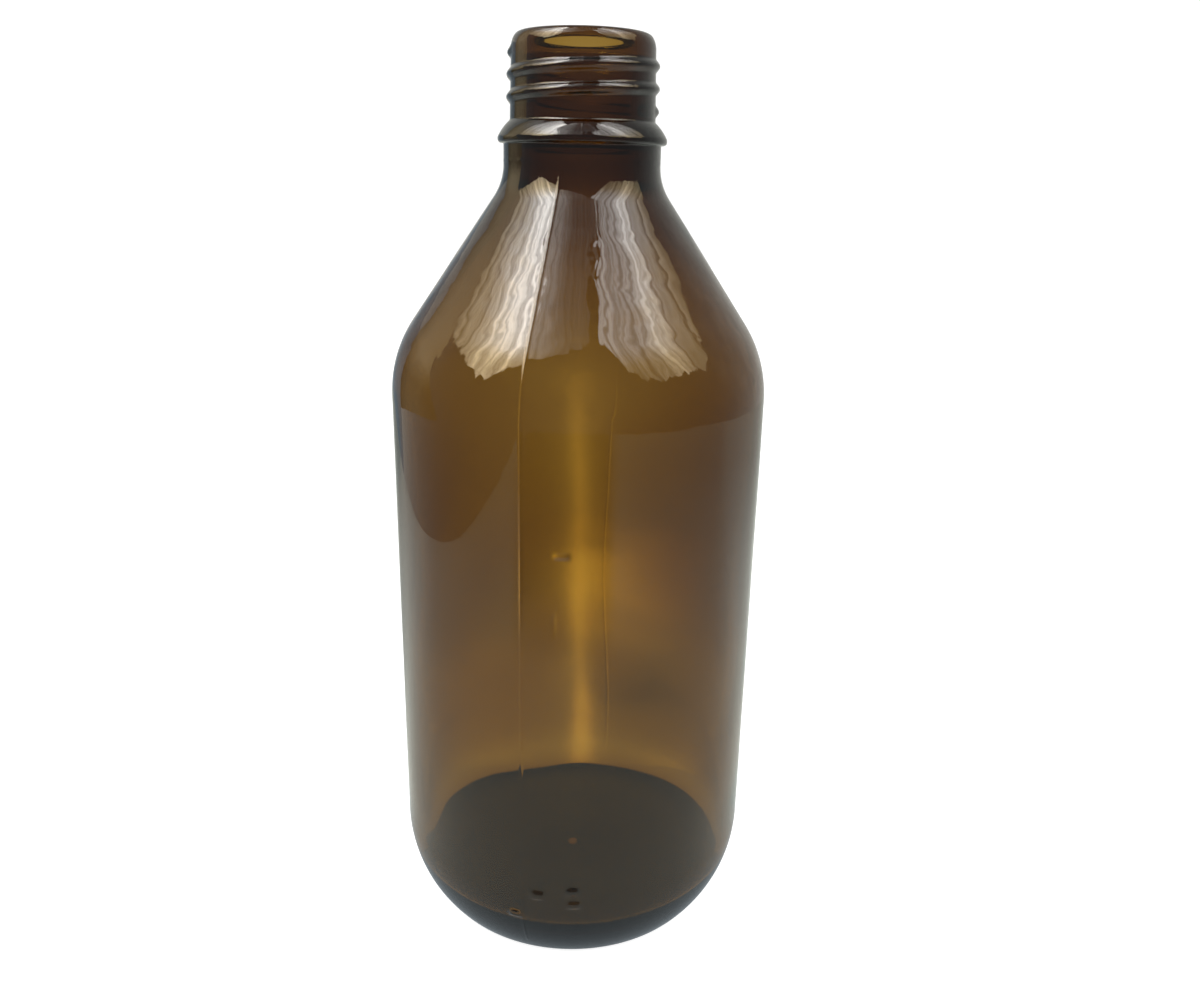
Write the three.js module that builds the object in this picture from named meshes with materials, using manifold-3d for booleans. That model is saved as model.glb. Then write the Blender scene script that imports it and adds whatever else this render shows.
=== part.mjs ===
// An amber glass bottle with a screw neck: one piece of moulded glass, open at the mouth.
// Millimetres, +Z up. The origin is the centre of the standing ring, on the surface it stands on.
import * as THREE from "three";
import { mergeVertices } from "three/addons/utils/BufferGeometryUtils.js";
import Module from "manifold-3d";

// Outside of the bottle
const height = 182.4;
const bodyRadius = 38;
const heelHeight = 18.7; // where the heel curve meets the straight side
const heelRadius = 28;
const shoulderStart = 114.4; // where the straight side ends
const shoulderRadius = 26.2;
const coneAngle = THREE.MathUtils.degToRad(34.4); // shoulder slope, from the vertical
const throatRadius = 11; // hollow curve between shoulder and neck
const neckRadius = 15.2;

// Base
const standingRing = [27.4, 30.2]; // inner and outer radius of the flat ring that it stands on
const footCorner = 0.9; // rounding outside the ring
const footTrim = 0.04; // angle of heel curve that this rounding takes away
const pushUp = 3.2; // how far the middle of the base rises
const floorMiddle = 7.6; // inside floor: height at its middle, height near its edge
const floorEdge = 6.4;
const floorBulge = 0.2; // how far the floor bows up between the two
const floorRadius = 28.5;
const floorCorner = [35, 13.5]; // where the inside corner has turned into the side

// Transfer bead under the thread
const beadBottom = 162.8;
const beadShoulder = 163.9; // where its rounded edge ends and its sloping top begins
const beadTop = 167;
const beadRadius = 16.3;
const beadCorner = 0.7;
const beadBulge = 0.2; // how far the sloping top bows out

// Finish: the plain cylinder that carries the thread, and the sealing land on top of it
const finishRadius = 13.65;
const finishFoot = 13.95; // the finish widens a little down to the bead
const rimCorner = [1.6, 2.8]; // width and height of the rounding outside the sealing land
const mouthRadius = 9.8;
const mouthEdge = 0.5; // rounding between mouth and sealing land
const mouthFlare = 8; // height over which the mouth narrows to the bore
const boreRadius = 9.3;
const boreBottom = 162; // where the bore has widened into the neck
const boreTaper = 4; // height over which it widens

// Inside of the shell
const innerBody = 35.3;
const innerNeck = 9.9;
const shoulderWall = 3;

// Right-hand thread
const thread = {
  pitch: 4,
  turns: 2.58,
  start: 169, // height of the ridge's middle where it starts
  startAngle: THREE.MathUtils.degToRad(-14),
  crest: 14.4,
  halfWidth: 1.15,
  sunk: 0.5, // how far its foot reaches into the wall
  fade: THREE.MathUtils.degToRad(16), // length of each tapered end
  across: 4, // facets over its rounded top
  tip: 0.05, // height that is left of it at the very end
};

const sides = 48; // segments round the bottle
const arcStep = THREE.MathUtils.degToRad(13);
const bowSteps = 4;
const closest = 0.05; // profile points nearer than this to the last one are left out

const wasm = await Module();
wasm.setup();

// Points of an arc in the profile plane, from one angle to the other, both ends included.
// Where rise is given, the arc is part of an ellipse: radius across and rise up.
function arc(centre, radius, from, to, rise = radius) {
  const steps = Math.max(2, Math.ceil(Math.abs(to - from) / arcStep));
  return Array.from({ length: steps + 1 }, (_, i) => {
    const angle = from + ((to - from) * i) / steps;
    return [centre[0] + radius * Math.cos(angle), centre[1] + rise * Math.sin(angle)];
  });
}

// Points between two ends on a line that bows out to its right by bulge, both ends included.
function bowed(start, end, bulge) {
  const [dr, dz] = [end[0] - start[0], end[1] - start[1]];
  const length = Math.hypot(dr, dz);
  return Array.from({ length: bowSteps + 1 }, (_, i) => {
    const t = i / bowSteps;
    const out = (4 * bulge * t * (1 - t)) / length;
    return [start[0] + dr * t + dz * out, start[1] + dz * t - dr * out];
  });
}

// Arcs that turn a straight side into a cone and the cone into a neck, going up.
// side and neck are radii, bend and hollow the radii of the two curves, and start is the height of the first.
function shoulder(side, start, bend, neck, hollow) {
  const end = [side - bend + bend * Math.cos(coneAngle), start + bend * Math.sin(coneAngle)];
  const neckOffset = hollow * (1 - Math.cos(coneAngle));
  const drop = end[0] - (neck + neckOffset);
  const coneTop = end[1] + drop / Math.tan(coneAngle);
  const hollowCentre = [neck + hollow, coneTop + hollow * Math.sin(coneAngle)];
  return [
    ...arc([side - bend, start], bend, 0, coneAngle),
    ...arc(hollowCentre, hollow, Math.PI + coneAngle, Math.PI),
  ];
}

// The whole wall as one closed profile: up the outside, over the rim, and down the inside.
function wallProfile() {
  const puntRadius = (standingRing[0] ** 2 + pushUp ** 2) / (2 * pushUp);
  const footAngle = -Math.asin(heelHeight / heelRadius);
  const heelCentre = [bodyRadius - heelRadius, heelHeight];
  const cornerAngle = Math.PI / 2 - coneAngle;
  const innerBend = shoulderRadius - shoulderWall;
  const innerStart = shoulderStart - (shoulderWall - (bodyRadius - innerBody)) * Math.tan(cornerAngle / 2);
  const inside = shoulder(innerBody, innerStart, innerBend, innerNeck, throatRadius + shoulderWall);
  const cornerWidth = floorCorner[0] - floorRadius;
  return [
    ...arc([0, pushUp - puntRadius], puntRadius, Math.PI / 2, Math.acos(standingRing[0] / puntRadius)),
    ...arc([standingRing[1], footCorner], footCorner, -Math.PI / 2, -Math.PI / 4),
    ...arc(heelCentre, heelRadius, footAngle + footTrim, 0),
    ...shoulder(bodyRadius, shoulderStart, shoulderRadius, neckRadius, throatRadius),
    [neckRadius, beadBottom],
    ...arc([beadRadius - beadCorner, beadBottom + beadCorner], beadCorner, -Math.PI / 2, 0),
    ...bowed([beadRadius, beadShoulder], [finishFoot, beadTop], beadBulge),
    ...arc([finishRadius - rimCorner[0], height - rimCorner[1]], rimCorner[0], 0, Math.PI / 2, rimCorner[1]),
    ...arc([mouthRadius + mouthEdge, height - mouthEdge], mouthEdge, Math.PI / 2, Math.PI),
    [boreRadius, height - mouthFlare],
    [boreRadius, boreBottom + boreTaper],
    [innerNeck, boreBottom],
    ...inside.reverse(),
    ...arc([floorRadius, floorCorner[1]], cornerWidth, 0, -Math.PI / 2, floorCorner[1] - floorEdge),
    ...bowed([floorRadius, floorEdge], [0, floorMiddle], floorBulge),
  ];
}

function revolved(profile) {
  const distinct = profile.filter(
    (p, i) => i === 0 || Math.hypot(p[0] - profile[i - 1][0], p[1] - profile[i - 1][1]) > closest,
  );
  const geometry = new THREE.LatheGeometry(distinct.map(([r, z]) => new THREE.Vector2(r, z)), sides);
  return geometry.rotateX(Math.PI / 2); // the lathe's axis is +Y
}

// The thread's ridge: a rounded section that runs along a helix and sinks into the wall at both ends.
function threadRidge() {
  const steps = Math.round(thread.turns * sides);
  const length = thread.turns * 2 * Math.PI;
  const foot = finishRadius - thread.sunk;
  const positions = [];
  for (let i = 0; i <= steps; i++) {
    const along = (length * i) / steps;
    const angle = thread.startAngle + along;
    const middle = thread.start + (thread.pitch * angle) / (2 * Math.PI);
    const end = Math.min(1, along / thread.fade, (length - along) / thread.fade);
    const rise = thread.tip + (thread.crest - foot - thread.tip) * Math.sin((end * Math.PI) / 2);
    for (let j = 0; j <= thread.across; j++) {
      const turn = Math.PI * (j / thread.across - 0.5);
      const r = foot + rise * Math.cos(turn);
      positions.push(r * Math.cos(angle), r * Math.sin(angle), middle + thread.halfWidth * Math.sin(turn));
    }
  }
  const ring = thread.across + 1;
  const index = [];
  for (let i = 0; i < steps; i++) {
    for (let j = 0; j < ring; j++) {
      const a = i * ring + j;
      const b = i * ring + ((j + 1) % ring);
      index.push(a, a + ring, b, b, a + ring, b + ring);
    }
  }
  for (let j = 1; j < thread.across; j++) {
    const last = steps * ring;
    index.push(0, j, j + 1);
    index.push(last, last + j + 1, last + j);
  }
  const geometry = new THREE.BufferGeometry();
  geometry.setAttribute("position", new THREE.Float32BufferAttribute(positions, 3));
  geometry.setIndex(index);
  return geometry;
}

function solid(geometry) {
  geometry.deleteAttribute("normal");
  geometry.deleteAttribute("uv");
  const merged = mergeVertices(geometry, 1e-4);
  return new wasm.Manifold(
    new wasm.Mesh({
      numProp: 3,
      vertProperties: merged.attributes.position.array,
      triVerts: new Uint32Array(merged.index.array),
    }),
  );
}

function geometryOf(manifold) {
  const mesh = manifold.getMesh();
  const geometry = new THREE.BufferGeometry();
  geometry.setAttribute("position", new THREE.BufferAttribute(mesh.vertProperties, 3));
  geometry.setIndex(new THREE.BufferAttribute(mesh.triVerts, 1));
  geometry.computeVertexNormals();
  return geometry;
}

const amberGlass = new THREE.MeshStandardMaterial({
  color: 0x6b4a17,
  roughness: 0.06,
  metalness: 0,
  transparent: true,
  opacity: 0.75,
});

const bottle = new THREE.Mesh(geometryOf(solid(revolved(wallProfile())).add(solid(threadRidge()))), amberGlass);
bottle.name = "glass_bottle";

const part = new THREE.Group();
part.add(bottle);

export default part;
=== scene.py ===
import math

import bpy
import numpy as np
from mathutils import Matrix, Vector


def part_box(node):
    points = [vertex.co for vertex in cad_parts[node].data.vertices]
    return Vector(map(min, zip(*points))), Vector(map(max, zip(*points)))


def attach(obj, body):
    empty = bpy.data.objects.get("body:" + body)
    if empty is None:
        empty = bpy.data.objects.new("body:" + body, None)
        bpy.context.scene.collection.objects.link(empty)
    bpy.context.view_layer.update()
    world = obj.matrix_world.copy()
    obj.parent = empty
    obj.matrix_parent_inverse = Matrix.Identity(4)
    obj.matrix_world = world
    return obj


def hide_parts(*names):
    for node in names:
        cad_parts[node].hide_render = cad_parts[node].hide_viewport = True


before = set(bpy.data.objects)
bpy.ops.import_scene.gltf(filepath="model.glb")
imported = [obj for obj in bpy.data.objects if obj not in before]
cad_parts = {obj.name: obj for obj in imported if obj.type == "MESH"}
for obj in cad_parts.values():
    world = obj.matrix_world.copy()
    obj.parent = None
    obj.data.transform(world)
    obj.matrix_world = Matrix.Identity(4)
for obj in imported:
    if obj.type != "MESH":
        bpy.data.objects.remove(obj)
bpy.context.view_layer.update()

bottleLow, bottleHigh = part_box("glass_bottle")
mm = 0.001
scene = bpy.context.scene

view = {
    "distance": 204.85 * mm, "height": 158.16 * mm,  # from the bottle's axis, and above the table
    "pitch": 17.70, "yaw": 1.3465, "roll": -1.2191,  # degrees down, to the right and leaning
    "lens": 30.13, "sensor": 36,  # millimetres, as on a camera
    "nearest": 5 * mm, "furthest": 50,  # how near and how far it can see
}

# the outline, from the foot up; heights are above the surface it stands on
outline = {
    "height": bottleHigh.z,
    "body": bottleHigh.x,
    "ringIn": 27.4 * mm, "ringOut": 30.2 * mm,  # flat ring it stands on
    "footCorner": 0.9 * mm,
    "footTrim": 0.04,  # angle of the heel's curve that this corner takes away
    "pushUp": 3.2 * mm, "pushFlat": 2.6,  # height of the pushed-up base, and how flat it is on top
    "heelHeight": 18.7 * mm, "heelRadius": 28 * mm,
    "shoulderStart": 114.4 * mm, "shoulderRadius": 26.2 * mm,
    "cone": math.radians(34.4),
    "throat": 11 * mm, "neck": 15.2 * mm, "neckFoot": 159.3 * mm,
    "beadBottom": 162.8 * mm, "beadShoulder": 163.9 * mm, "beadTop": 167 * mm,
    "bead": 16.3 * mm, "beadCorner": 0.7 * mm, "beadBulge": 0.2 * mm,
    "finishFoot": 13.95 * mm, "finish": 13.65 * mm,
    "rimWidth": 1.6 * mm, "rimRise": 2.8 * mm,
}

# the inside, from the mouth down
hollow = {
    "mouth": 9.8 * mm, "mouthEdge": 0.5 * mm, "lip": 10.3 * mm, "lipDepth": 4.2 * mm, "flare": 6.4 * mm,
    "bore": 9.3 * mm, "boreBottom": 162 * mm, "boreTaper": 4 * mm,
    "neck": 10.2 * mm, "body": 35.3 * mm, "shoulderWall": 3 * mm,
    "floorMiddle": 7.6 * mm, "floorEdge": 6.4 * mm, "floorRadius": 28.5 * mm,
    "cornerRadius": 35 * mm, "cornerHeight": 13.5 * mm,
}

thread = {
    "pitch": 4 * mm, "turns": 2.58,
    "start": 169 * mm, "startAngle": -14,  # degrees, as is the fade at each end
    "crest": 14.4 * mm, "halfWidth": 1.25 * mm, "fade": 18,
}

# lines that the mould halves leave, of the body's mould and of the neck's
seams = [
    {"azimuths": (254.6, 74.6), "low": 4 * mm, "high": 158 * mm, "proud": 0.09 * mm, "wide": 0.2 * mm},
    {"azimuths": (270, 90), "low": 160 * mm, "high": 182 * mm, "proud": 0.03 * mm, "wide": 0.2 * mm},
]

# columns of the mesh round the bottle, in degrees
meshColumns = {
    "even": 192,  # how many there are all round
    "fine": (249, 284, 0.5),  # from, to and step, closer where the raised spots are
    "besideSeam": (-0.9, -0.6, -0.3, 0, 0.3, 0.6, 0.9), "clearOfSeam": 1.3,
    "closest": 0.22,
}


def arc(centre, across, up, start, end, steps):
    turns = np.linspace(start, end, steps + 1)
    return np.column_stack([centre[0] + across * np.cos(turns), centre[1] + up * np.sin(turns)])


def straight(start, end, steps):
    return np.column_stack([np.linspace(start[i], end[i], steps + 1) for i in (0, 1)])


def shoulderLine(side, start, bend, neck, throat, cone):
    # bend out of the straight side, cone, hollow curve into the neck
    bendEnd = (side - bend + bend * math.cos(cone), start + bend * math.sin(cone))
    drop = bendEnd[0] - neck - throat * (1 - math.cos(cone))
    coneTop = bendEnd[1] + drop / math.tan(cone)
    coneEnd = (bendEnd[0] - drop, coneTop)
    centre = (neck + throat, coneTop + throat * math.sin(cone))
    return [
        arc((side - bend, start), bend, bend, 0, cone, steps=14),
        straight(bendEnd, coneEnd, steps=34),
        arc(centre, throat, throat, math.pi + cone, math.pi, steps=12),
    ]


def bowed(start, end, bulge, steps):
    share = np.linspace(0, 1, steps + 1)[:, None]
    run = np.subtract(end, start)
    side = np.array([run[1], -run[0]]) / np.hypot(*run)
    return np.add(start, run * share) + side * bulge * 4 * share * (1 - share)


def outsideLine(o):
    quarter = math.pi / 2
    heelCentre = (o["body"] - o["heelRadius"], o["heelHeight"])
    heelStart = o["footTrim"] - math.asin(o["heelHeight"] / o["heelRadius"])
    push = np.linspace(0, 1, 16)
    punt = np.column_stack([o["ringIn"] * push, o["pushUp"] * (1 - push ** o["pushFlat"])])
    foot, corner = o["footCorner"], o["beadCorner"]
    beadCentre = (o["bead"] - corner, o["beadBottom"] + corner)
    rimCentre = (o["finish"] - o["rimWidth"], o["height"] - o["rimRise"])
    return [
        punt,
        straight((o["ringIn"], 0), (o["ringOut"], 0), steps=4),
        arc((o["ringOut"], foot), foot, foot, -quarter, -quarter / 2, steps=4),
        arc(heelCentre, o["heelRadius"], o["heelRadius"], heelStart, 0, steps=56),
        straight((o["body"], o["heelHeight"]), (o["body"], o["shoulderStart"]), steps=220),
        *shoulderLine(o["body"], o["shoulderStart"], o["shoulderRadius"], o["neck"], o["throat"], o["cone"]),
        straight((o["neck"], o["neckFoot"]), (o["neck"], o["beadBottom"]), steps=12),
        arc(beadCentre, corner, corner, -quarter, 0, steps=6),
        bowed((o["bead"], o["beadShoulder"]), (o["finishFoot"], o["beadTop"]), o["beadBulge"], steps=12),
        straight((o["finishFoot"], o["beadTop"]), (o["finish"], rimCentre[1]), steps=76),
        arc(rimCentre, o["rimWidth"], o["rimRise"], 0, quarter, steps=12),
    ]


def insideLine(o, h):
    wallGain = h["shoulderWall"] - (o["body"] - h["body"])
    start = o["shoulderStart"] - wallGain * math.tan((math.pi / 2 - o["cone"]) / 2)
    bend = o["shoulderRadius"] - h["shoulderWall"]
    inside = shoulderLine(h["body"], start, bend, h["neck"], o["throat"] + h["shoulderWall"], o["cone"])
    inside = [piece[::-1] for piece in inside[::-1]]
    edge = h["mouthEdge"]
    boreLow, boreHigh = h["boreBottom"] + h["boreTaper"], o["height"] - h["flare"]
    cornerWide, cornerTall = h["cornerRadius"] - h["floorRadius"], h["cornerHeight"] - h["floorEdge"]
    return [
        arc((h["mouth"] + edge, o["height"] - edge), edge, edge, math.pi / 2, math.pi, steps=5),
        straight((h["mouth"], o["height"] - edge), (h["lip"], o["height"] - h["lipDepth"]), steps=8),
        straight((h["lip"], o["height"] - h["lipDepth"]), (h["bore"], boreHigh), steps=6),
        straight((h["bore"], boreHigh), (h["bore"], boreLow), steps=8),
        straight((h["bore"], boreLow), (h["neck"], h["boreBottom"]), steps=5),
        *inside,
        straight((h["body"], start), (h["cornerRadius"], h["cornerHeight"]), steps=34),
        arc((h["floorRadius"], h["cornerHeight"]), cornerWide, cornerTall, 0, -math.pi / 2, steps=20),
        straight((h["floorRadius"], h["floorEdge"]), (0, h["floorMiddle"]), steps=12),
    ]


def joined(pieces, gap=0.02 * mm):
    # one line of points, without those that lie on the one before
    points = np.concatenate(pieces)
    keep = [0]
    for i in range(1, len(points)):
        if np.hypot(*(points[i] - points[keep[-1]])) > gap:
            keep.append(i)
    return points[keep]


def columnAngles(c):
    # even steps, with extra columns beside each seam so that the seam stays sharp
    angles = list(np.linspace(0, 2 * math.pi, c["even"], endpoint=False))
    angles += list(np.radians(np.arange(*c["fine"])))
    for seam in seams:
        for centre in np.radians(seam["azimuths"]):
            angles = [a for a in angles if abs(a - centre) > math.radians(c["clearOfSeam"])]
            angles += [centre + math.radians(x) for x in c["besideSeam"]]
    angles = sorted(angles)
    apart = [angles[0]]
    for angle in angles[1:]:
        if angle - apart[-1] > math.radians(c["closest"]):
            apart.append(angle)
    return np.array(apart)


def smoothStep(x):
    x = np.clip(x, 0, 1)
    return x * x * (3 - 2 * x)


def waves(around, up, seed, count, longest, shortest):
    # a sum of gentle waves, even round the bottle; about 1 at its highest
    rng = np.random.default_rng(seed)
    total = np.zeros(np.broadcast(around, up).shape)
    for _ in range(count):
        turns = int(rng.integers(0, 9))
        wavelength = rng.uniform(shortest, longest)
        phase, tilt = rng.uniform(0, 2 * math.pi, 2)
        total += np.sin(turns * around + phase) * np.sin(2 * math.pi * up / wavelength + tilt)
    return total / math.sqrt(count)


def threadRise(around, up, o, t):
    rise = np.zeros(np.broadcast(around, up).shape)
    length = 360 * t["turns"]
    for turn in range(4):
        along = np.degrees(around) - t["startAngle"] + 360 * (turn - 1)
        middle = t["start"] + t["pitch"] * (along + t["startAngle"]) / 360
        fade = smoothStep(np.minimum(along, length - along) / t["fade"])
        across = np.clip(np.abs(up - middle) / t["halfWidth"], 0, 1)
        rise = np.maximum(rise, fade * (t["crest"] - o["finish"]) * np.cos(across * math.pi / 2) ** 1.3)
    return rise


def band(x, low, high, soft):
    return smoothStep((x - low) / soft) * smoothStep((high - x) / soft)


def turnedFrom(around, azimuth):
    # angle from an azimuth in degrees, between minus and plus half a turn
    return (around - math.radians(azimuth) + math.pi) % (2 * math.pi) - math.pi


# small raised or sunk spots on the outside: azimuth, height, half width, half height, how proud
spots = [
    (265.9, 92.5 * mm, 1.3 * mm, 0.5 * mm, 0.16 * mm),  # blister
    (263.9, 79 * mm, 0.3 * mm, 2 * mm, -0.04 * mm),  # scratch
    (254.7, 43 * mm, 0.35 * mm, 0.4 * mm, -0.08 * mm),  # pit
    (259.6, 19.3 * mm, 1.5 * mm, 0.9 * mm, 0.45 * mm),  # worn raised dots above the foot
    (270.2, 20.6 * mm, 1.4 * mm, 0.8 * mm, 0.45 * mm),
    (270.6, 17.4 * mm, 1.4 * mm, 0.8 * mm, 0.45 * mm),
    (252.3, 13.8 * mm, 1.3 * mm, 0.9 * mm, 0.5 * mm),
    (280.5, 18.2 * mm, 1.2 * mm, 0.7 * mm, 0.12 * mm),
]

skin = {
    "swell": 0.022 * mm, "longest": 60 * mm, "shortest": 14 * mm,  # gentle waves all over
    "swellSeed": 3, "swells": 14,
    "partingHeight": 159.6 * mm, "partingProud": 0.07 * mm, "partingWide": 0.25 * mm,  # broken line
    "plainBase": 13 * mm,  # the middle of the base stays even
}


def outsideRelief(around, up, radius):
    swell = waves(around, up, skin["swellSeed"], skin["swells"], skin["longest"], skin["shortest"])
    relief = skin["swell"] * swell * band(up, 3 * mm, 160 * mm, 6 * mm)
    relief = relief + threadRise(around, up, outline, thread) * band(up, 166 * mm, 182 * mm, 1.5 * mm)
    for seam in seams:
        for azimuth in seam["azimuths"]:
            ridge = np.exp(-((turnedFrom(around, azimuth) * radius / seam["wide"]) ** 2))
            relief = relief + seam["proud"] * ridge * band(up, seam["low"], seam["high"], 1 * mm)
    for azimuth, height, wide, tall, proud in spots:
        away = turnedFrom(around, azimuth) * radius / wide
        relief = relief + proud * np.exp(-(away ** 4) - ((up - height) / tall) ** 4)
    partingLine = np.exp(-(((up - skin["partingHeight"]) / skin["partingWide"]) ** 2))
    broken = np.clip(np.sin(23 * around + 1) + 0.6 * np.sin(61 * around) + 0.2, 0, 1)
    return relief + skin["partingProud"] * partingLine * broken


# where the wall is thinner or thicker: azimuth, height, half width in degrees, half height, how much thinner
thinSpots = [
    (91, 66 * mm, 12, 50 * mm, 0.3 * mm),  # back and front, where the parison was drawn most
    (271, 80 * mm, 10, 40 * mm, 0.25 * mm),
    (77, 58 * mm, 18, 8 * mm, 0.4 * mm),
    (74, 33 * mm, 12, 9 * mm, -0.4 * mm),
    (104, 44 * mm, 10, 10 * mm, -0.3 * mm),
    (250, 60 * mm, 20, 12 * mm, -0.25 * mm),
    (312, 106 * mm, 30, 28 * mm, -0.6 * mm),
]

wall = {
    "swell": 0.14 * mm, "longest": 90 * mm, "shortest": 24 * mm,
    "swellSeed": 8, "swells": 12,
    "thinLow": 0.6 * mm, "thinBelow": 75 * mm, "thinOver": 40 * mm,  # over this height it gets thinner
    "thinBend": 0.42 * mm, "bendHeight": 121 * mm, "bendReach": 11 * mm,
    "thickThroat": 1.2 * mm, "throatHeight": 151 * mm, "throatReach": 9 * mm,
    "even": (9 * mm, 160 * mm), "evenBore": 9 * mm,  # past these heights and this radius it stays even
}


def insideRelief(around, up):
    # the glass runs unevenly inside the mould: thin low down, thick where shoulder meets neck
    floor = wall["even"][0]
    swell = waves(around, up, wall["swellSeed"], wall["swells"], wall["longest"], wall["shortest"])
    relief = wall["swell"] * swell * band(up, 12 * mm, 125 * mm, 18 * mm)
    low = smoothStep((wall["thinBelow"] - up) / wall["thinOver"]) * smoothStep((up - floor) / (8 * mm))
    relief = relief + wall["thinLow"] * low
    bend = np.exp(-(((up - wall["bendHeight"]) / wall["bendReach"]) ** 2))
    throat = np.exp(-(((up - wall["throatHeight"]) / wall["throatReach"]) ** 2))
    relief = relief + wall["thinBend"] * bend - wall["thickThroat"] * throat
    for azimuth, height, wide, tall, thinner in thinSpots:
        away = np.degrees(turnedFrom(around, azimuth))
        spot = np.exp(-((away / wide) ** 2)) * np.exp(-(((up - height) / tall) ** 4))
        relief = relief + thinner * spot * smoothStep((up - floor) / (6 * mm))
    return relief


def latheMesh(name, profile, angles, insideFrom):
    # first and last profile points lie on the axis; rings between them
    rings = profile[1:-1]
    around = angles[None, :]
    radius = rings[:, 0][:, None]
    up = rings[:, 1][:, None]
    isInside = (np.arange(len(rings)) >= insideFrom - 1)[:, None]
    change = np.where(isInside, insideRelief(around, up), outsideRelief(around, up, radius))
    uneven = (up > wall["even"][0]) & (up < wall["even"][1]) & (radius > wall["evenBore"])
    onWall = np.where(isInside, uneven, radius > skin["plainBase"])
    onShoulder = band(up, 112 * mm, 158 * mm, 10 * mm)
    wrinkled = np.where(isInside, 0, amber["wrinkleLeast"] + (1 - amber["wrinkleLeast"]) * onShoulder)
    radius = radius + np.where(onWall, change, 0)
    x, y = radius * np.cos(around), radius * np.sin(around)
    z = np.broadcast_to(up, x.shape)
    points = np.stack([x, y, z], axis=2).reshape(-1, 3)
    points = np.vstack([points, [0, 0, profile[0][1]], [0, 0, profile[-1][1]]])
    count = len(angles)
    last, top = len(rings) * count, (len(rings) - 1) * count
    faces = []
    for i in range(count):
        j = (i + 1) % count
        faces.append((last, j, i))
        faces += [(low + i, low + j, low + count + j, low + count + i) for low in range(0, top, count)]
        faces.append((last + 1, top + i, top + j))
    mesh = bpy.data.meshes.new(name)
    mesh.from_pydata(points.tolist(), [], faces)
    chilled = mesh.attributes.new("wrinkled", "FLOAT", "POINT")  # only the outside touched the cold mould
    chilled.data.foreach_set("value", np.append(np.broadcast_to(wrinkled, x.shape).ravel(), [0, 0]))
    mesh.shade_smooth()
    made = bpy.data.objects.new(name, mesh)
    scene.collection.objects.link(made)
    return made


amber = {
    "ior": 1.52,
    "density": 1100,  # per metre
    "tint": (0.643, 0.511, 0.04),  # what is left after the density takes its share
    "gloss": (0.0, 0.03),  # roughness of clean glass and of the few smudges
    "hazeScale": 35, "hazeFrom": (0.7, 0.9),  # size of the smudges, and how few they are
    "wrinkleScale": 140, "wrinkleDepth": 0.2 * mm,
    "wrinkleSquash": 1.3,  # chill wrinkles lie level, so they are squeezed upwards
    "wrinkleLeast": 0.07,  # how much of their depth is left away from the shoulder
}


def addNode(tree, kind, values):
    node = tree.nodes.new(kind)
    for socket, value in values.items():
        node.inputs[socket].default_value = value
    return node


def amberGlass():
    material = bpy.data.materials.new("amberGlass")
    material.use_nodes = True
    tree = material.node_tree
    link = tree.links.new
    shader = tree.nodes["Principled BSDF"]
    shader.inputs["Base Color"].default_value = (1, 1, 1, 1)
    shader.inputs["IOR"].default_value = amber["ior"]
    shader.inputs["Transmission Weight"].default_value = 1
    coords = tree.nodes.new("ShaderNodeTexCoord")

    haze = addNode(tree, "ShaderNodeTexNoise", {"Scale": amber["hazeScale"], "Detail": 1})
    gloss = addNode(tree, "ShaderNodeMapRange", {
        "From Min": amber["hazeFrom"][0], "From Max": amber["hazeFrom"][1],
        "To Min": amber["gloss"][0], "To Max": amber["gloss"][1],
    })
    link(coords.outputs["Object"], haze.inputs["Vector"])
    link(haze.outputs["Fac"], gloss.inputs["Value"])
    link(gloss.outputs["Result"], shader.inputs["Roughness"])

    chill = addNode(tree, "ShaderNodeMapping", {"Scale": (1, 1, amber["wrinkleSquash"])})
    wrinkle = addNode(tree, "ShaderNodeTexNoise", {
        "Scale": amber["wrinkleScale"], "Detail": 2, "Roughness": 0.35,
    })
    where = tree.nodes.new("ShaderNodeAttribute")
    where.attribute_name = "wrinkled"
    dented = addNode(tree, "ShaderNodeBump", {"Distance": amber["wrinkleDepth"]})
    link(coords.outputs["Object"], chill.inputs["Vector"])
    link(chill.outputs["Vector"], wrinkle.inputs["Vector"])
    link(wrinkle.outputs["Fac"], dented.inputs["Height"])
    link(where.outputs["Fac"], dented.inputs["Strength"])
    link(dented.outputs["Normal"], shader.inputs["Normal"])

    absorb = addNode(tree, "ShaderNodeVolumeAbsorption", {
        "Color": (*amber["tint"], 1), "Density": amber["density"],
    })
    link(absorb.outputs["Volume"], tree.nodes["Material Output"].inputs["Volume"])
    return material


def makeBottle():
    outside, inside = joined(outsideLine(outline)), joined(insideLine(outline, hollow))
    profile = np.vstack([outside, inside])
    bottle = latheMesh("bottle", profile, columnAngles(meshColumns), len(outside))
    bottle.data.materials.append(amberGlass())
    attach(bottle, "root")
    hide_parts("glass_bottle")
    print("bottle:", len(bottle.data.vertices), "points,", len(profile), "rings")


# a light table: how bright it is at distances from the bottle's axis, dark under the bottle as its painted
# shadow
table = {
    "colour": (0.3, 0.3, 0.3), "roughness": 0.7,
    # painted shadow of the bottle, dark under the foot
    "seen": [(28 * mm, 0), (31.5 * mm, 1.04)],
    "seenThrough": [(37.2 * mm, 0), (38.2 * mm, 1.04)],  # painted shadow: through the glass it is dark under the heel too
    "behind": 3 * mm,  # the painted shadow reaches this much further at the back
    "rings": [1, 27, 28, 29, 30, 31, 31.5, 34, 36, 37.2, 38.2, 39, 60, 100, 300, 1600],  # millimetres
}


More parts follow.
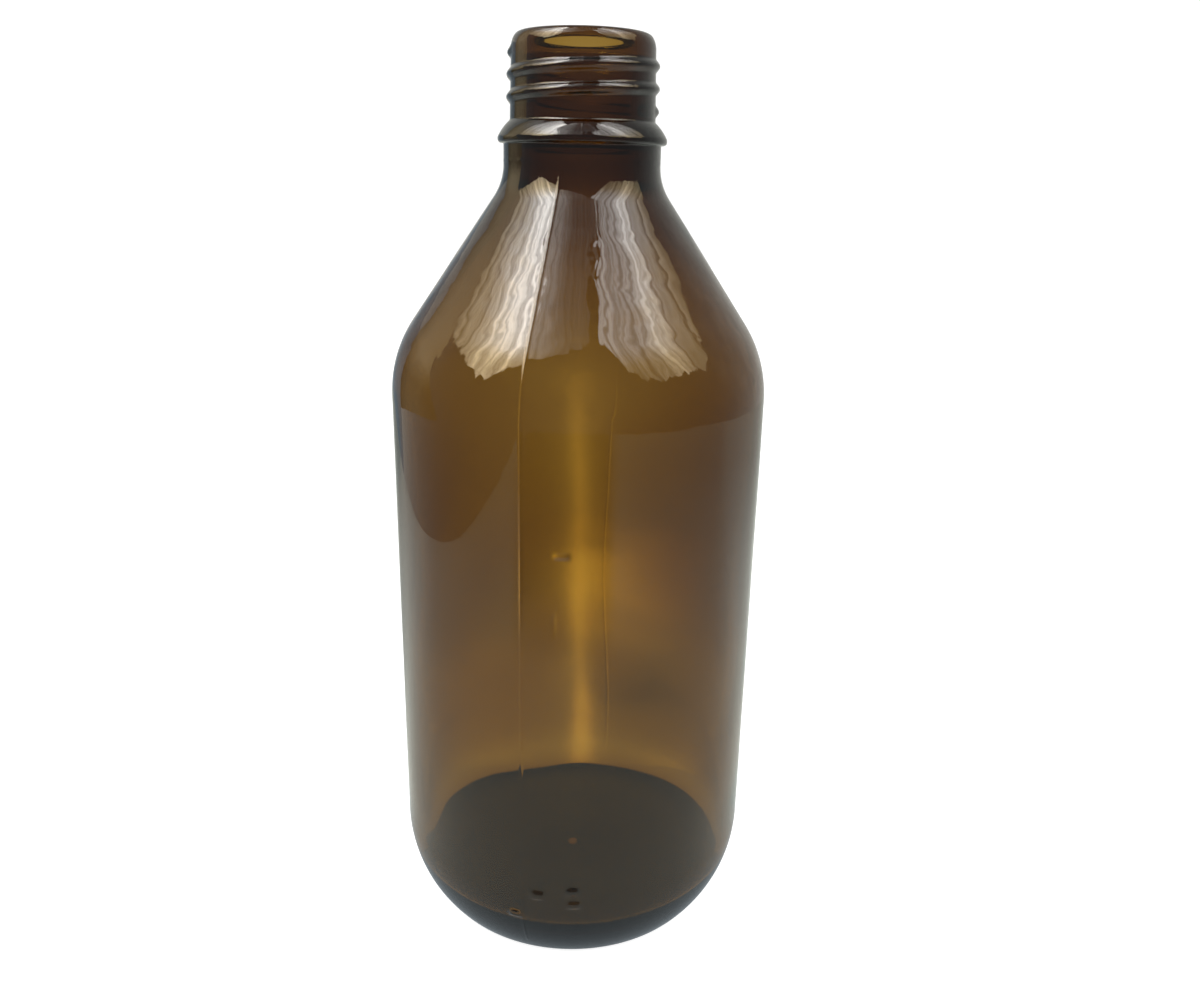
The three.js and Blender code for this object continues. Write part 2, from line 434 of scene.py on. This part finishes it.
def glowing(name, mesh, colours):
    # a material that shines with the colours kept on the mesh's points
    glow = mesh.attributes.new("glow", "FLOAT_COLOR", "POINT")
    for i, colour in enumerate(colours):
        glow.data[i].color = (*colour, 1)
    material = bpy.data.materials.new(name)
    material.use_nodes = True
    tree = material.node_tree
    read = tree.nodes.new("ShaderNodeAttribute")
    read.attribute_name = "glow"
    shader = tree.nodes["Principled BSDF"]
    shader.inputs["Base Color"].default_value = (0, 0, 0, 1)
    shader.inputs["Specular IOR Level"].default_value = 0
    shader.inputs["Emission Strength"].default_value = 1
    tree.links.new(read.outputs["Color"], shader.inputs["Emission Color"])
    mesh.materials.append(material)
    return shader


def grid(rows, columns):
    return [(r * columns + c, r * columns + c + 1, (r + 1) * columns + c + 1, (r + 1) * columns + c)
            for r in range(rows - 1) for c in range(columns - 1)]


def makeTable():
    around = np.radians(np.arange(0, 361, 3))
    for name in ("seen", "seenThrough"):
        # the copy seen through the glass has its painted shadow shifted further to the back
        shift = table["behind"] if name == "seenThrough" else 0
        points, colours = [], []
        for distance in np.array(table["rings"]) * mm:
            # dark near the bottle: painted shadow of the bottle on the table
            bright = np.interp(distance, *zip(*table[name]))
            points += [(distance * math.sin(a), -distance * math.cos(a) + shift, 0) for a in around]
            colours += [(bright, bright, bright)] * len(around)
        mesh = bpy.data.meshes.new(name)
        mesh.from_pydata(points, [], grid(len(table["rings"]), len(around)))
        shader = glowing(name, mesh, colours)
        if name == "seen":
            shader.inputs["Base Color"].default_value = (*table["colour"], 1)
        shader.inputs["Roughness"].default_value = table["roughness"]
        top = bpy.data.objects.new("table." + name, mesh)
        top.location.z = bottleLow.z - (0.05 if name == "seen" else 0.1) * mm  # one just under the other
        top.visible_glossy = False
        top.visible_camera = top.visible_diffuse = top.visible_shadow = name == "seen"
        top.visible_transmission = name == "seenThrough"
        scene.collection.objects.link(top)
    makeSheen()
    print("table: laid")


# daylight on the table behind the bottle; bearings and dips are in degrees from where the camera stands
sheen = {
    "bearings": (-12, 12.1, 0.4),  # from, to and step
    "dips": (8, 32.8, 40),  # from, to and how many
    "level": 1.04, "warmth": 0.97,
    # bearing, dip, half width, half depth, how much brighter
    "patches": [
        (0.5, 31, 1.1, 2.6, 1.4),  # the bright line behind the middle
        (0.5, 26.5, 1.3, 3.5, 0.6),
        (0.4, 17, 1.7, 7.5, 0.6),
        (0.3, 22, 3.4, 8, 0.3),
        (1, 22.6, 3, 2.6, 0.8),  # the soft patches to its right
        (4.8, 22.2, 3.8, 1.8, 0.9),
        (3, 26, 6, 2.2, 0.3),
        (5, 27.8, 3.4, 1.9, -0.42),
        (-4, 24.5, 2.8, 3, -0.2),  # to its left
        (-6.5, 29.5, 4, 3, 0.35),
        (7, 33, 2.6, 1.6, 0.35),  # at the foot, on the right
    ],
}


def makeSheen():
    bearings, dips = np.arange(*sheen["bearings"]), np.linspace(*sheen["dips"])
    points, colours = [], []
    for dip in dips:
        reach = view["height"] / math.tan(math.radians(dip))
        for bearing in bearings:
            points.append((reach * math.tan(math.radians(bearing)), reach - view["distance"], 0))
            level = sheen["level"]
            for b, d, wide, deep, gain in sheen["patches"]:
                level += gain * math.exp(-(((bearing - b) / wide) ** 2) - ((dip - d) / deep) ** 4)
            colours.append((level, level, level * sheen["warmth"]))
    mesh = bpy.data.meshes.new("sheen")
    mesh.from_pydata(points, [], grid(len(dips), len(bearings)))
    glowing("sheen", mesh, colours)
    lit = bpy.data.objects.new("table.sheen", mesh)
    lit.location.z = bottleLow.z - 0.02 * mm
    lit.visible_camera = lit.visible_diffuse = lit.visible_shadow = lit.visible_glossy = False
    scene.collection.objects.link(lit)


# What the glass mirrors: directions are (azimuth, elevation) in degrees as seen from the bottle.
# Azimuth 0 is straight in front and + is to the right. low and high are the edges of each panel, glow is how
# bright it is by azimuth, and fall is (from, to, share at from, share at to) by elevation.
panels = {
    "leftWindow": {
        "low": [(-107.5, 31), (-95, 31), (-80, 27.5), (-61, 21), (-51, 29.5), (-41, 37)],
        "high": [(-107.5, 75), (-60, 75), (-58, 61), (-41, 56)],
        "glow": [
            (-108, 4), (-95, 5), (-82, 8), (-73, 13), (-63, 15), (-57, 12), (-51, 15), (-46, 8), (-41, 5.5),
        ],
        "fall": (24, 58, 0.45, 1), "torn": 1.6, "streaks": 0.35,
    },
    "dimCeiling": {
        "low": [
            (-58, 61.2), (-48, 57.6), (-41, 43.5), (-10, 52.5), (8, 58), (10, 62.5), (20, 62.6), (35, 64.2),
        ],
        "high": [(-58, 82), (35, 82)],
        "glow": [(-58, 4), (-42, 3), (-32, 2.3), (-23, 1.3), (-14, 0.9), (6, 0.8), (22, 0.8), (35, 1.4)],
        "fall": (60, 68, 1, 0.7), "torn": 0.8, "streaks": 0.2,
    },
    "rightWindow": {
        "low": [(20.5, 60), (26, 52), (31, 43), (40, 29), (66, 25.5), (91, 22), (97, 31), (107, 35)],
        "high": [(20.5, 62.4), (35, 64), (50, 75), (107, 75)],
        "glow": [
            (21, 3.4), (30, 4), (34, 2.8), (58, 3.4), (66, 6.6), (74, 8), (80, 4), (95, 2.8), (107, 2.2),
        ],
        "fall": (24, 58, 0.55, 1.1), "torn": 2.2, "streaks": 0.4,
    },
    "leftCorner": {
        "low": [(-160, -20), (-134, -20)],
        "high": [(-160, 12), (-134, 12)],
        "glow": [(-160, 0.5), (-150, 0.34), (-134, 0.34)],
        "fall": (0, 50, 1, 1),
        "tint": (0.85, 1.0, 1.1),
    },
    "leftWall": {
        "low": [(-134, -13), (-91, -13)],
        "high": [(-134, 60), (-108, 60), (-107, 30), (-91, -12)],
        "glow": [(-134, 0.5), (-122, 1.1), (-110, 1.4), (-91, 1)],
        "fall": (0, 16, 0.35, 1),
    },
}

room = {
    "white": 1.12,  # behind the glass, all round
    # what the glass mirrors outside the panels, from the front to the back
    "mirrored": [
        (0, (0.27, 0.27, 0.27)),
        (0.3, (0.26, 0.26, 0.26)),
        (0.5, (0.3, 0.31, 0.31)),
        (0.9, (0.6, 0.61, 0.57)),
    ],
    "away": 1.5, "middle": 130 * mm,  # distance of the panels, and the height that they stand round
    "warm": (1, 0.82, 0.52), "cool": (0, 0.16, 0.42),  # low daylight, and what is added to it high up
    "coolFrom": 34, "coolOver": 24,
    "bounces": 24, "mirrorBounces": 8,
}


def glowMesh(name, points, faces, colours):
    # a lamp in the form of a mesh, or a painted reflection such as the table's: it shows only as a reflection
    # and lights nothing else
    mesh = bpy.data.meshes.new(name)
    mesh.from_pydata([tuple(p) for p in points], [], faces)
    glowing(name, mesh, colours)
    made = bpy.data.objects.new(name, mesh)
    scene.collection.objects.link(made)
    made.visible_camera = made.visible_diffuse = made.visible_transmission = False
    made.visible_volume_scatter = made.visible_shadow = False


def ripple(x, seed):
    # irregular waves along a line, about 1 at their highest
    rng = np.random.default_rng(seed)
    total = np.zeros(np.shape(x))
    for wavelength in (11, 7.3, 5.1, 3.7, 2.6, 1.9, 1.3):
        total += wavelength ** 0.5 * np.sin(2 * math.pi * x / wavelength + rng.uniform(0, 2 * math.pi))
    return total / 7


def makePanel(name, panel):
    corners = {a for a, _ in panel["low"] + panel["high"] + panel["glow"]}
    start, end = panel["low"][0][0], panel["low"][-1][0]
    around = np.array(sorted({a for a in corners if start <= a <= end} | set(np.arange(start, end, 0.4))))
    torn = panel.get("torn", 0)  # wrinkled glass tears the edges of what it mirrors
    low = np.interp(around, *zip(*panel["low"])) + torn * ripple(around, 5)
    high = np.interp(around, *zip(*panel["high"])) + torn * ripple(around, 6)
    glow = np.interp(around, *zip(*panel["glow"]))
    share = np.linspace(0, 1, 12)[:, None]
    up = low * (1 - share) + high * share
    a, e = np.radians(np.broadcast_to(around, up.shape)), np.radians(up)
    points = np.stack([np.sin(a) * np.cos(e), -np.cos(a) * np.cos(e), np.sin(e)], axis=2).reshape(-1, 3)
    points = points * room["away"] + np.array([0, 0, room["middle"]])
    foot, top, dimmed, full = panel["fall"]
    strength = glow * (dimmed + (full - dimmed) * smoothStep((up - foot) / (top - foot)))
    strength = strength * (1 + panel.get("streaks", 0) * ripple(around + 0.12 * up, 7))
    cool = smoothStep((up - room["coolFrom"]) / room["coolOver"])[:, :, None]
    tint = panel.get("tint", np.array(room["warm"]) + np.array(room["cool"]) * cool)
    colours = strength[:, :, None] * tint
    glowMesh(name, points, grid(len(up), len(around)), colours.reshape(-1, 3))


# the table as the glass mirrors it, a painted reflection: greyer than it looks, with painted shade in front
# where the camera stands and against the foot
tableGlow = {
    "colour": (0.7, 0.74, 0.68),
    "leftEdge": -0.27,  # the table ends here
    # millimetres from the bottle's axis
    "rings": [1, 28, 31, 34, 38, 42, 46, 52, 60, 80, 110, 140, 170, 190, 210, 230, 250, 280, 400, 600],
    "bluer": (0.12, 0.05, -0.12),  # what each colour loses against the foot, a bluish painted shadow of the bottle
    "dimmest": 0.66, "turned": 7, "halfWide": 22, "fadeWide": 9,  # shade in front: strength and degrees
    "shades": [(216, 13, 0.45), (135, 18, 0.2)],  # beside the bottle: azimuth, half width, strength
}


def makeTableGlow():
    around = np.radians(np.arange(0, 361, 2))
    points, colours = [], []
    for distance in np.array(tableGlow["rings"]) * mm:
        for a in around:
            x, y = max(distance * math.sin(a), tableGlow["leftEdge"]), -distance * math.cos(a)
            points.append((x, y, 0.2 * mm))
            turned = (math.degrees(a) + tableGlow["turned"] + 180) % 360 - 180
            inFront = 1 - smoothStep((abs(turned) - tableGlow["halfWide"]) / tableGlow["fadeWide"])
            # painted shade in front, where the camera stands
            dim = tableGlow["dimmest"] * smoothStep((distance - 150 * mm) / (100 * mm)) * inFront
            level = (1 - 0.3 * smoothStep((distance - 200 * mm) / (200 * mm))) * (1 - dim)
            near = 1 - smoothStep((distance - 30 * mm) / (30 * mm))  # painted shadow of the bottle: darker and bluer against the foot
            level *= (1 - 0.5 * near) * (1 + 0.3 * smoothStep((y + 20 * mm) / (100 * mm)))
            for azimuth, wide, less in tableGlow["shades"]:
                level *= 1 - less * math.exp(-(((math.degrees(a) - azimuth) / wide) ** 2))
            colours.append([
                c * level * (1 - near * less) for c, less in zip(tableGlow["colour"], tableGlow["bluer"])
            ])
    glowMesh("tableGlow", points, grid(len(tableGlow["rings"]), len(around)), colours)


def makeLight():
    for name, panel in panels.items():
        makePanel(name, panel)
    makeTableGlow()
    world = bpy.data.worlds.new("studio")
    scene.world = world
    world.use_nodes = True
    tree = world.node_tree
    link = tree.links.new
    bright = tree.nodes["Background"]
    bright.inputs["Color"].default_value = (1, 1, 1, 1)
    bright.inputs["Strength"].default_value = room["white"]
    coords = tree.nodes.new("ShaderNodeTexCoord")
    split = tree.nodes.new("ShaderNodeSeparateXYZ")
    facing = addNode(tree, "ShaderNodeMapRange", {"From Min": -1, "From Max": 1})
    tint = tree.nodes.new("ShaderNodeValToRGB")
    ramp = tint.color_ramp.elements
    while len(ramp) < len(room["mirrored"]):
        ramp.new(0.5)
    for stop, (place, colour) in zip(ramp, room["mirrored"]):
        stop.position, stop.color = place, (*colour, 1)
    grey = tree.nodes.new("ShaderNodeBackground")
    link(coords.outputs["Generated"], split.inputs["Vector"])
    link(split.outputs["Y"], facing.inputs["Value"])
    link(facing.outputs["Result"], tint.inputs["Fac"])
    link(tint.outputs["Color"], grey.inputs["Color"])
    path = tree.nodes.new("ShaderNodeLightPath")
    mirrored = tree.nodes.new("ShaderNodeMath")  # a mirrored ray is glossy and hasn't just come through glass
    mirrored.operation = "SUBTRACT"
    mirrored.use_clamp = True
    link(path.outputs["Is Glossy Ray"], mirrored.inputs[0])
    link(path.outputs["Is Transmission Ray"], mirrored.inputs[1])
    mix = tree.nodes.new("ShaderNodeMixShader")
    link(mirrored.outputs["Value"], mix.inputs["Fac"])
    link(bright.outputs["Background"], mix.inputs[1])
    link(grey.outputs["Background"], mix.inputs[2])
    link(mix.outputs["Shader"], tree.nodes["World Output"].inputs["Surface"])
    scene.view_settings.view_transform = "Standard"
    scene.cycles.max_bounces = scene.cycles.transmission_bounces = room["bounces"]
    scene.cycles.glossy_bounces = room["mirrorBounces"]
    print("light: white room,", len(panels), "panels")


def makeCamera():
    data = bpy.data.cameras.new("camera")
    data.sensor_width = view["sensor"]
    data.lens = view["lens"]
    data.clip_start, data.clip_end = view["nearest"], view["furthest"]
    camera = bpy.data.objects.new("camera", data)
    scene.collection.objects.link(camera)
    pitch, yaw, roll = (math.radians(view[k]) for k in ("pitch", "yaw", "roll"))
    forward = Vector((math.sin(yaw) * math.cos(pitch), math.cos(yaw) * math.cos(pitch), -math.sin(pitch)))
    right = Vector((math.cos(yaw), -math.sin(yaw), 0))
    down = forward.cross(right)
    leaned = right * math.cos(roll) + down * math.sin(roll)
    under = down * math.cos(roll) - right * math.sin(roll)
    turn = Matrix((leaned, -under, -forward)).transposed().to_4x4()
    camera.matrix_world = Matrix.Translation((0, -view["distance"], view["height"])) @ turn
    scene.camera = camera
    print("camera: set")


makeCamera()
makeTable()
makeLight()
makeBottle()
